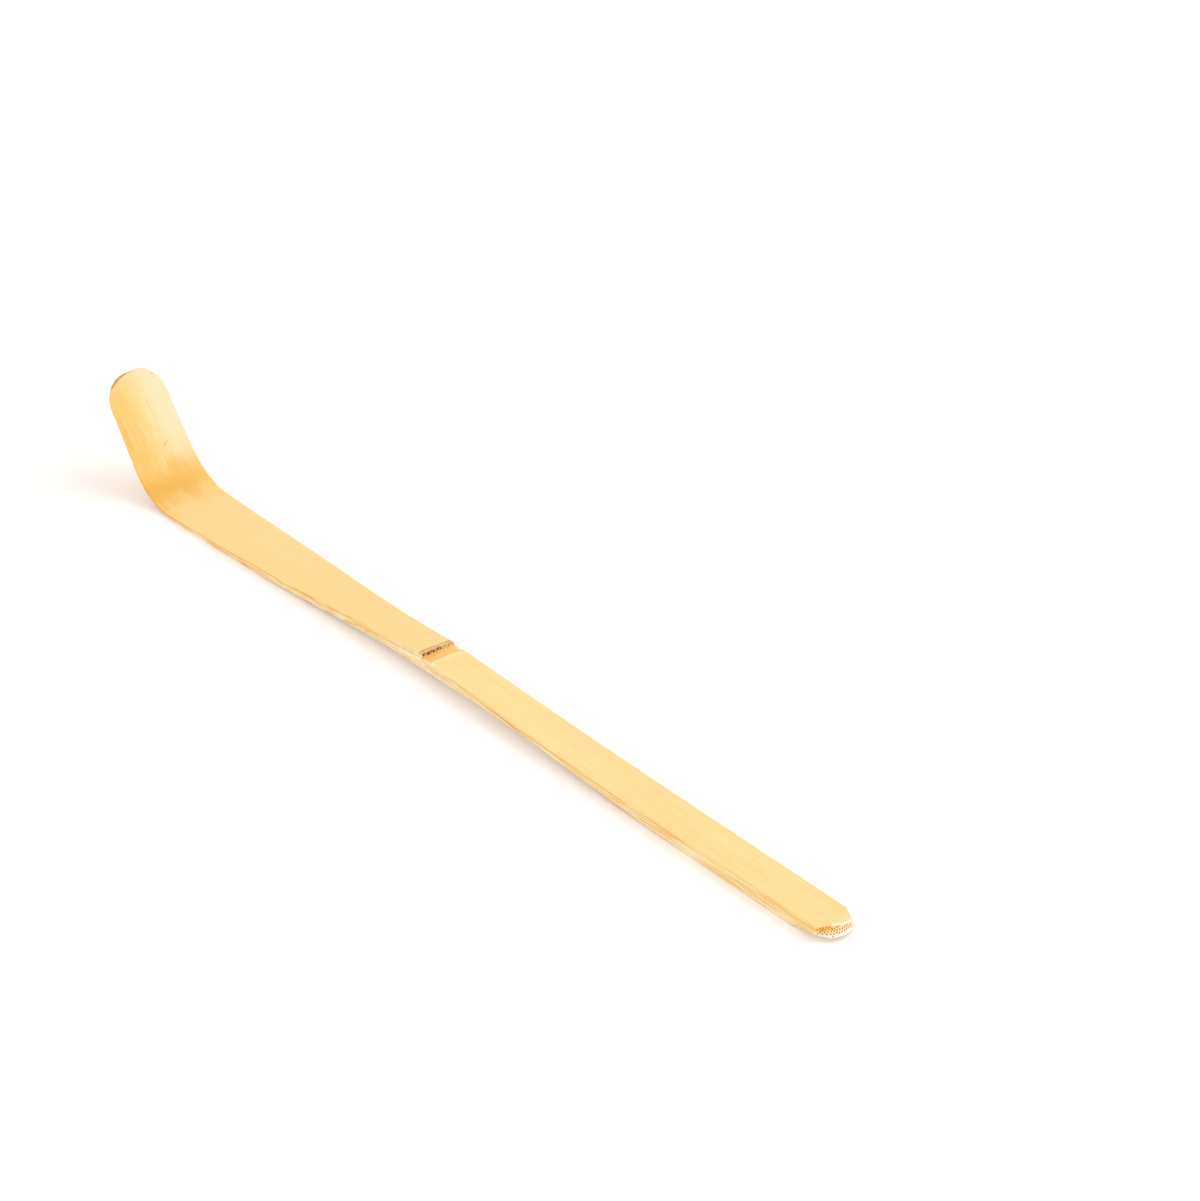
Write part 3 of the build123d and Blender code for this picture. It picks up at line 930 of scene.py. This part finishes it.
along, across, depth = marks["place"].T
is_cut = marks["cut"] > 0.3
is_skin = marks["skin"] > 0.5
along_strip = (1.0, 0.0, 0.0)
along_blade = (-cos(RISE), 0.0, sin(RISE))
tree = cut_fibre_tree()
bundles = fibre_end_finish("bundles", "#C4660A", "#E48E28", 0.3, 1800.0, 0.7)
charred = fibre_end_finish("scar", "#3C1D08", "#8A5222", 0.35, 2500.0, 0.75)

below_rim = eased(depth - np.maximum(BAND_TILT * across, -0.4), 0.36, 0.46)
above_sole = 1 - eased(depth, 1.24, 1.34)
thinning = mixed(1.0, 0.85, eased(depth, 0.7, 1.6))
end_bundles = cut_fibres(
    "end_bundles", tree, ground_of(points, faces, is_cut & (along > 0), below_rim * above_sole * thinning),
    grain_bead("bundle", 0.24, 0.014), Finish=bundles, Facing=along_strip, Fibre=along_strip,
    Middle=(END_X / METRE + 0.004, 0.0, 0.5 * HANDLE_HEIGHT / METRE), Width=0.0072, Height=0.0026,
    Columns=18, Rows=10, Wander=0.00004, Smallest=0.75, Largest=1.15, Longest=2.6, Seed=4)
dress(end_bundles)

tip_top = placed(np.array(TIP_ALONG), np.array(0.0), np.array(0.0)) / METRE
tip_bundles = cut_fibres(
    "tip_bundles", tree, ground_of(points, faces, is_cut & (along < 0), np.full(len(points), 0.85)),
    grain_bead("bundle", 0.11, 0.008), Finish=bundles, Facing=along_blade, Fibre=along_blade,
    Middle=tuple(tip_top + 0.003 * np.array(along_blade)), Width=0.0112, Height=0.0014,
    Columns=52, Rows=8, Wander=0.00003, Smallest=0.7, Largest=1.1, Longest=2.2, Seed=6)
dress(tip_bundles)

on_ledge = (np.abs(along - NODE_X - 0.05) < 0.25) & is_skin
torn_share = mixed(0.95, 0.55, eased(across, -1.0, 3.2))
scar_fibres = cut_fibres(
    "scar_fibres", tree, ground_of(points, faces, on_ledge, torn_share),
    grain_bead("speck", 0.14, 0.03), Finish=charred, Facing=along_strip, Fibre=(0.0, 0.0, 1.0),
    Middle=(NODE_X / METRE + 0.004, 0.0, 0.0033), Width=0.0066, Height=0.0005,
    Columns=24, Rows=3, Wander=0.00009, Smallest=0.6, Largest=1.4, Longest=2.6, Seed=9)
dress(scar_fibres)


def floor():
    """Pale floor that keeps a soft shadow. The camera sees it a little lifted, towards white."""
    reach, low = 3.0, -0.00002
    corners = [(x * reach, y * reach, low) for x, y in ((-1, -1), (1, -1), (1, 1), (-1, 1))]
    mesh = bpy.data.meshes.new("floor")
    mesh.from_pydata(corners, [], [(0, 1, 2, 3)])
    f = Finish("pale_floor")
    seen = f.node("ShaderNodeLightPath", output="Is Camera Ray")
    mesh.materials.append(f.surface(**{
        "Base Color": paint("#EAE9E8"), "Roughness": 0.9, "Specular IOR Level": 0.0,
        "Emission Color": f.mix(seen, (0, 0, 0, 1), (1.0, 0.84, 0.79, 1)), "Emission Strength": 0.27}))
    linked("floor", mesh)


def aimed(made, target, back, distance):
    """Puts a lamp or the camera back from its target, facing it."""
    made.location = target + back * distance
    made.rotation_euler = back.to_track_quat("Z", "Y").to_euler()


def softbox(name, toward, size, energy, colour):
    """Square area lamp, aimed at the scoop from one direction."""
    lamp = bpy.data.lights.new(name, "AREA")
    lamp.size = size
    lamp.energy = energy
    lamp.color = colour
    aimed(linked(name, lamp), Vector(), Vector(toward).normalized(), 1.3)


def studio():
    """Soft key from the back right, weak fill from the front, and an even, slightly warm surround."""
    world = bpy.data.worlds.new("surround")
    bpy.context.scene.world = world
    world.use_nodes = True
    board = Board(world.node_tree)
    seen = board.node("ShaderNodeLightPath", output="Is Camera Ray")
    colour = board.mix(seen, (0.79, 0.785, 0.78, 1), (1, 1, 1, 1))
    glow = board.node("ShaderNodeBackground", inputs={"Color": colour, "Strength": 1.0})
    board.add("ShaderNodeOutputWorld", inputs={"Surface": glow})
    softbox("key", (0.34, 0.59, 0.73), 1.0, 6.0, (1.0, 1.0, 1.0))
    softbox("fill", (0.3, -0.9, 0.3), 0.9, 3.6, (1.0, 0.96, 0.9))


def camera():
    """Camera at the photograph's angle. The image is taken to be 1200 by 1201."""
    azimuth, elevation, distance = radians(51.3), radians(29.3), 0.5345
    target = Vector((-0.0035, 0.0329, 0.0))
    back = Vector((sin(azimuth) * cos(elevation), -cos(azimuth) * cos(elevation), sin(elevation)))
    sensor, image_height, focal_pixels = 36.0, 1201, 3350
    lens = bpy.data.cameras.new("camera")
    lens.sensor_width = sensor
    lens.lens = focal_pixels * sensor / image_height
    lens.clip_start = 0.01
    made = linked("camera", lens)
    aimed(made, target, back, distance)
    bpy.context.scene.camera = made


floor()
studio()
camera()
bpy.context.scene.view_settings.view_transform = "Standard"
